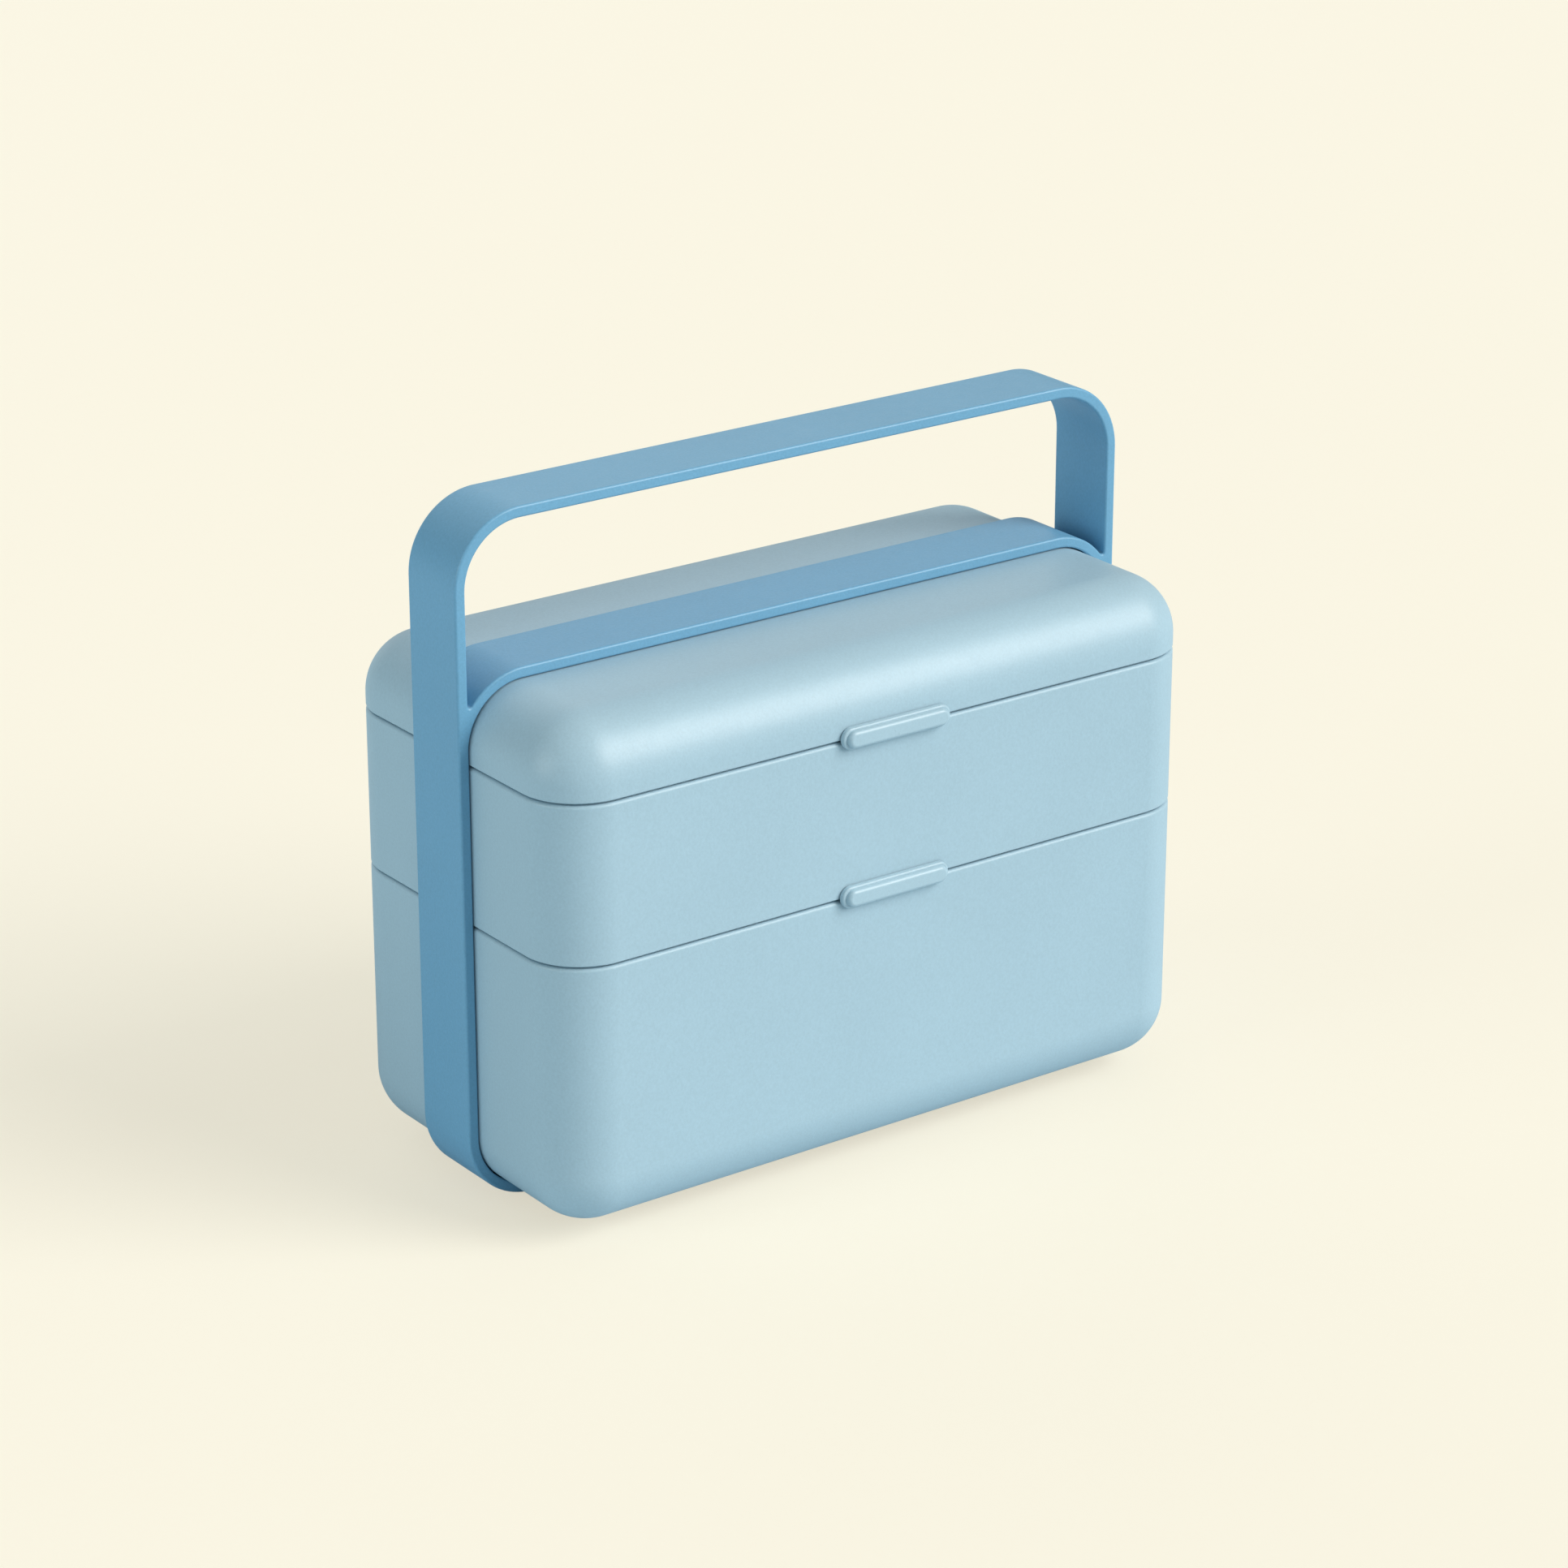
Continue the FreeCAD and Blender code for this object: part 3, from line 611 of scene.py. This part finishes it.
tray = block("cutlery_tray_body", tray_low, tray_high)
bevel(along(2), tray_corner, 12)
bevel(at(2, tray_low.z), tray_round, 4)
close(tray)
for row in (-1, 0, 1):
    trough_middle = Vector((tray_middle, row * trough_pitch, 0))
    trough = block("trough", trough_middle - trough_half + Vector((0, 0, trough_floor)),
                   trough_middle + trough_half + Vector((0, 0, tray_high.z + 2 * mm)))
    bevel(along(2), trough_corner, 12)
    bevel(at(2, trough_floor), trough_round, 5)
    combine(tray, close(trough), "DIFFERENCE")
bpy.ops.object.mode_set(mode="EDIT")
bevel(at(2, tray_high.z), tray_edge, 3)
finish_mesh(tray, "cutlery_tray")
tray.data.materials.append(milky_plastic)
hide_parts("cutlery_tray")


# ------------------------------------------------------------------ knife, fork and spoon
# A small cutlery set moulded in the strap's blue. Each piece is drawn out from the tail of its
# handle, station by station, and is then given its blade, tines or bowl.
cutlery_plastic = moulded_plastic("cutlery_plastic", (0.16, 0.30, 0.40), roughness=0.34,
                                  grain_size=0.5, grain_depth=0.006, mottle=0.05)
utensil_thick = 2.2 * mm
utensil_edge = 0.7 * mm
fork_edge = 0.5 * mm
bowl_half = Vector((23 * mm, 10 * mm, 4.2 * mm))
bowl_wall = 1.4 * mm
tine_length = 26 * mm
tine_pitch = 5 * mm
tine_gap_half = 1 * mm
tine_tip = 1.1 * mm
# each station is the distance from the tail and the half breadth there, both in millimetres
handle_stations = ((0, 2.8), (1.6, 4.2), (4.5, 5.1), (12, 5.5), (45, 5.1), (62, 4.3), (76, 3.6), (85, 3.5))
blade_stations = ((90, 4.3), (96, 5.6), (104, 6.7), (114, 7.4), (123, 7.3), (129, 6.0), (132.4, 4.0),
                  (134, 1.8))
fork_stations = ((89, 4.8), (93, 7.2), (98, 9.2), (104, 9.95), (112, 10.0), (134, 9.6))
spoon_stations = ((90, 3.7),)


def draw_out(name, stations):
    """A flat bar drawn out along x through its stations; gives the bar, its middle, base and far corner."""
    low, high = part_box(name)
    middle = (low.y + high.y) / 2
    base = high.z - utensil_thick
    (first, breadth), (second, _) = stations[:2]
    piece = block(f"{name}_body", (low.x + first * mm, middle - breadth * mm, base),
                  (low.x + second * mm, middle + breadth * mm, high.z))
    reached = second
    for place, half in stations[1:]:
        pick("FACE", lambda face: face.normal.x > 0.9)
        if place > reached:
            pull(((place - reached) * mm, 0, 0))
            reached = place
        bpy.ops.transform.resize(value=(1, half / breadth, 1), center_override=(0, middle, 0))
        breadth = half
    return piece, middle, base, high


def soften_outline(base, top, radius):
    """Rounds the upper and lower edges all the way round a flat piece."""
    bevel(lambda edge: at(2, base)(edge) or at(2, top)(edge), radius, 4)


def finish_utensil(piece, name):
    """Finishes a utensil, which rides on the body of its own name."""
    finish_mesh(piece, name)
    piece.data.materials.append(cutlery_plastic)
    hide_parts(name)


knife, _, base, knife_high = draw_out("knife", handle_stations + blade_stations)
soften_outline(base, knife_high.z, utensil_edge)
finish_utensil(knife, "knife")

fork, row, base, fork_high = draw_out("fork", handle_stations + fork_stations)
close(fork)
tine_root = fork_high.x - tine_length
for number in (-1, 0, 1):
    gap_middle = row + number * tine_pitch
    tine_gap = block("tine_gap", (tine_root, gap_middle - tine_gap_half, base - 1 * mm),
                     (fork_high.x + 1 * mm, gap_middle + tine_gap_half, fork_high.z + 1 * mm))
    bevel(lambda edge: along(2)(edge) and at(0, tine_root)(edge), tine_gap_half - 0.05 * mm, 6)
    combine(fork, close(tine_gap), "DIFFERENCE")
bpy.ops.object.mode_set(mode="EDIT")
bevel(lambda edge: along(2)(edge) and at(0, fork_high.x)(edge), tine_tip, 5)
soften_outline(base, fork_high.z, fork_edge)
finish_utensil(fork, "fork")

spoon, row, base, spoon_high = draw_out("spoon", handle_stations + spoon_stations)
soften_outline(base, spoon_high.z, utensil_edge)
bowl_middle = Vector((spoon_high.x - bowl_half.x, row, spoon_high.z))


def ellipsoid(name, shrink):
    """An ellipsoid round the middle of the bowl's rim, open in edit mode."""
    clear()
    bpy.ops.mesh.primitive_uv_sphere_add(segments=64, ring_count=32, radius=1, location=bowl_middle)
    piece = bpy.context.object
    piece.name = name
    piece.scale = bowl_half - Vector((shrink, shrink, shrink))
    bpy.ops.object.transform_apply(location=True, rotation=True, scale=True)
    bpy.ops.object.mode_set(mode="EDIT")
    return piece


bowl = ellipsoid("bowl", 0)
bpy.ops.mesh.select_all(action="SELECT")
bpy.ops.mesh.bisect(plane_co=bowl_middle, plane_no=(0, 0, 1), clear_outer=True, use_fill=True)
hollow = ellipsoid("bowl_hollow", bowl_wall)
bpy.ops.transform.translate(value=(0, 0, near))
combine(bowl, close(hollow), "DIFFERENCE")
combine(spoon, bowl, "UNION")
finish_utensil(spoon, "spoon")


# ------------------------------------------------------------------ top cover
# A shallow dome, injection moulded in the containers' plastic and rounded over like the box's base.
# A ledge inside its mouth carries a lip that drops into the upper lid's well.
cover_low, cover_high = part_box("top_cover")
cover_roof = cover_high.z

top_cover = rounded_block("top_cover_shell", 0, cover_seam, cover_roof)
pick("FACE", lambda face: face.normal.z < -0.9)
inset(wall)
pull((0, 0, cover_roof - wall - cover_seam))
bevel(at(2, cover_roof - wall), floor_round, 12)
bevel(at(2, cover_roof), edge_round, 24)
bevel(rim_at(cover_seam, 0), seam_edge, 4)
bevel(rim_at(cover_seam, -wall), foot_edge, 3)
close(top_cover)
ledge_margin = 0.5 * mm - wall
ledge = rounded_block("ledge", ledge_margin, cover_seam + 2 * near, cover_seam + foot_thick)
hollow_through(ledge_margin - foot_margin + foot_thick)
combine(top_cover, close(ledge), "UNION")
lip = rounded_block("lip", foot_margin, cover_low.z, cover_seam + foot_thick / 2)
hollow_through(foot_thick + 0.05 * mm)
bevel(at(2, cover_low.z), foot_edge, 2)
combine(top_cover, close(lip), "UNION")
finish_mesh(top_cover, "top_cover")
top_cover.data.materials.append(shell_plastic)
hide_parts("top_cover")


# ------------------------------------------------------------------ carry strap
# One endless band of thermoplastic elastomer holds the stack together and rises over the cover as
# a carry handle. It is moulded in one piece with rounded edges and slides on along the box's depth.
strap_low, strap_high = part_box("carry_strap")
strap_thick = 2.8 * mm
strap_gap = 0.2 * mm
strap_round = 18 * mm
strap_edge = 0.6 * mm
cavity_round = 14.8 * mm
crotch_depth = 7.0 * mm
crotch_round = 0.42 * mm
band_top = cover_roof + strap_gap + strap_thick
handle_inside = strap_high.x - strap_thick
leg_foot = 108.2 * mm


def across(name, half, low, high, radius, upper_only=False):
    """A block right across the strap, with its corners rounded as seen from the front."""
    piece = block(name, (-half, strap_low.y - 5 * mm, low), (half, strap_high.y + 5 * mm, high))
    level = high if upper_only else None
    bevel(lambda edge: along(1)(edge) and (level is None or at(2, level)(edge)), radius, 32)
    return close(piece)


strap = block("carry_strap_band", strap_low, strap_high)
bevel(along(1), strap_round, 32)
close(strap)
cavity = across("cavity", handle_inside, strap_thick, band_top - strap_thick, cavity_round)
combine(strap, cavity, "DIFFERENCE")
window_round = strap_round - strap_thick
window = across("window", handle_inside, leg_foot, strap_high.z - strap_thick, window_round, True)
combine(window, across("band", strap_high.x, 60 * mm, band_top, strap_round, True), "DIFFERENCE")
# the crotches, where the handle leaves the band, are blunt and rounded
crotch = band_top - crotch_depth
bpy.ops.object.mode_set(mode="EDIT")
bpy.ops.mesh.select_all(action="SELECT")
bpy.ops.mesh.bisect(plane_co=(0, 0, crotch), plane_no=(0, 0, 1), clear_inner=True, use_fill=True)
bevel(lambda edge: along(1)(edge) and at(2, crotch)(edge), crotch_round, 5)
combine(strap, close(window), "DIFFERENCE")
bpy.ops.object.mode_set(mode="EDIT")
bevel(lambda edge: at(1, strap_low.y)(edge) or at(1, strap_high.y)(edge), strap_edge, 4)
finish_mesh(strap, "carry_strap", 40)

strap_rubber = moulded_plastic("strap_rubber", (0.170, 0.396, 0.580), roughness=0.36,
                               grain_size=0.62, grain_depth=0.038, mottle=0.11)
strap.data.materials.append(strap_rubber)
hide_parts("carry_strap")


# ------------------------------------------------------------------ floor, lights and camera
# A wide pale floor, a soft key light high on the front right, a weaker fill low on the left, a dim
# sky, and a long lens in front and to the left of the box.
clear()
bpy.ops.mesh.primitive_plane_add(size=400, location=(0, 0, cad_low.z - 0.2 * mm))
floor = bpy.context.object
floor.name = "floor"
bpy.ops.object.transform_apply(location=True, rotation=True, scale=True)
floor_card = moulded_plastic("floor_card", (0.37, 0.35, 0.30), roughness=0.85,
                             grain_size=1.5, grain_depth=0.01, mottle=0.01)
# the card glows faintly cream from below, so the shadows on it stay light, and throws back a
# neutral light
card_nodes, card_links = floor_card.node_tree.nodes, floor_card.node_tree.links
card_shader = card_nodes["Principled BSDF"]
seen = card_nodes.new("ShaderNodeLightPath").outputs["Is Camera Ray"]
card_tone = card_nodes.new("ShaderNodeMix")
card_tone.data_type = "RGBA"
card_tone.inputs["A"].default_value = (0.60, 0.72, 0.78, 1)
card_links.new(seen, card_tone.inputs["Factor"])
card_links.new(card_nodes["tint"].outputs["Color"], card_tone.inputs["B"])
card_links.new(card_tone.outputs["Result"], card_shader.inputs["Base Color"])
card_shader.inputs["Emission Color"].default_value = (0.627, 0.584, 0.480, 1)
card_links.new(seen, card_shader.inputs["Emission Strength"])
floor.data.materials.append(floor_card)

world = bpy.data.worlds.new("studio")
bpy.context.scene.world = world
world.use_nodes = True
sky_nodes, sky_links = world.node_tree.nodes, world.node_tree.links
sky_tone = sky_nodes.new("ShaderNodeMix")
sky_tone.data_type = "RGBA"
sky_tone.inputs["A"].default_value = (0.255, 0.295, 0.305, 1)
sky_tone.inputs["B"].default_value = (0.97, 0.91, 0.77, 1)
sky_links.new(sky_nodes.new("ShaderNodeLightPath").outputs["Is Camera Ray"], sky_tone.inputs["Factor"])
sky_links.new(sky_tone.outputs["Result"], sky_nodes["Background"].inputs["Color"])


def shine(name, energy, spread, colour, towards):
    """A soft distant light that stands in one direction."""
    lamp = bpy.data.lights.new(name, "SUN")
    lamp.energy = energy
    lamp.angle = math.radians(spread)
    lamp.color = colour
    stand = bpy.data.objects.new(name, lamp)
    bpy.context.collection.objects.link(stand)
    stand.rotation_euler = Vector(towards).to_track_quat("Z", "Y").to_euler()


shine("key", energy=2.55, spread=38, colour=(1.0, 0.975, 0.94), towards=(0.52, -0.68, 0.51))
shine("top_light", energy=0.38, spread=24, colour=(0.84, 0.99, 1.0), towards=(0.50, -0.42, 0.76))
shine("side_fill", energy=0.88, spread=34, colour=(0.89, 0.99, 1.0), towards=(-0.93, 0.10, 0.24))
shine("back_fill", energy=0.42, spread=60, colour=(0.95, 0.98, 1.0), towards=(0.20, 0.90, 0.36))

view_azimuth = math.radians(-36.08)
view_elevation = math.radians(21.39)
back = Vector((math.sin(view_azimuth) * math.cos(view_elevation),
               -math.cos(view_azimuth) * math.cos(view_elevation), math.sin(view_elevation)))
right = Vector((math.cos(view_azimuth), math.sin(view_azimuth), 0))
camera_distance = 1.1742
camera_right = 1.89 * mm
camera_up = 76.66 * mm
camera_data = bpy.data.cameras.new("camera")
camera_data.lens = 108.7
camera = bpy.data.objects.new("camera", camera_data)
bpy.context.collection.objects.link(camera)
camera.location = back * camera_distance + right * camera_right + back.cross(right) * camera_up
camera.rotation_euler = back.to_track_quat("Z", "Y").to_euler()
bpy.context.scene.camera = camera
bpy.context.scene.view_settings.view_transform = "Standard"
